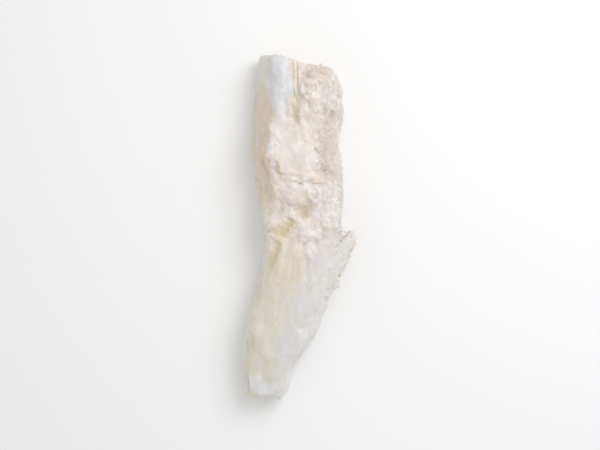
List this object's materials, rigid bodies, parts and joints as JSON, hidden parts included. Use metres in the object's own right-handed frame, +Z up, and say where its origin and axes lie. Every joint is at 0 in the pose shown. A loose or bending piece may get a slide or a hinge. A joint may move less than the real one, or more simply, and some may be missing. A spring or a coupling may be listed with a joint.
{
  "type": "soaked cod strip",
  "caption": "Long strip of soaked salt cod, torn and flaky on top and flat underneath, with one broad cut end and one slim end.",
  "frame": {"origin": "on the surface that the strip lies on, under the middle of its bounding box", "axes": "+Z up; +Y along the strip, towards its broad cut end; +X to the right when seen from above with the broad end up"},
  "size_m": [0.0528, 0.1632, 0.0267],
  "materials": {
    "cod_flesh": "wet, milky fish flesh with a soft gloss, cream in the creases and bluish white on the membrane"
  },
  "bodies": {
    "root": {"cod_strip": "cod_flesh"}
  },
  "joints": []
}
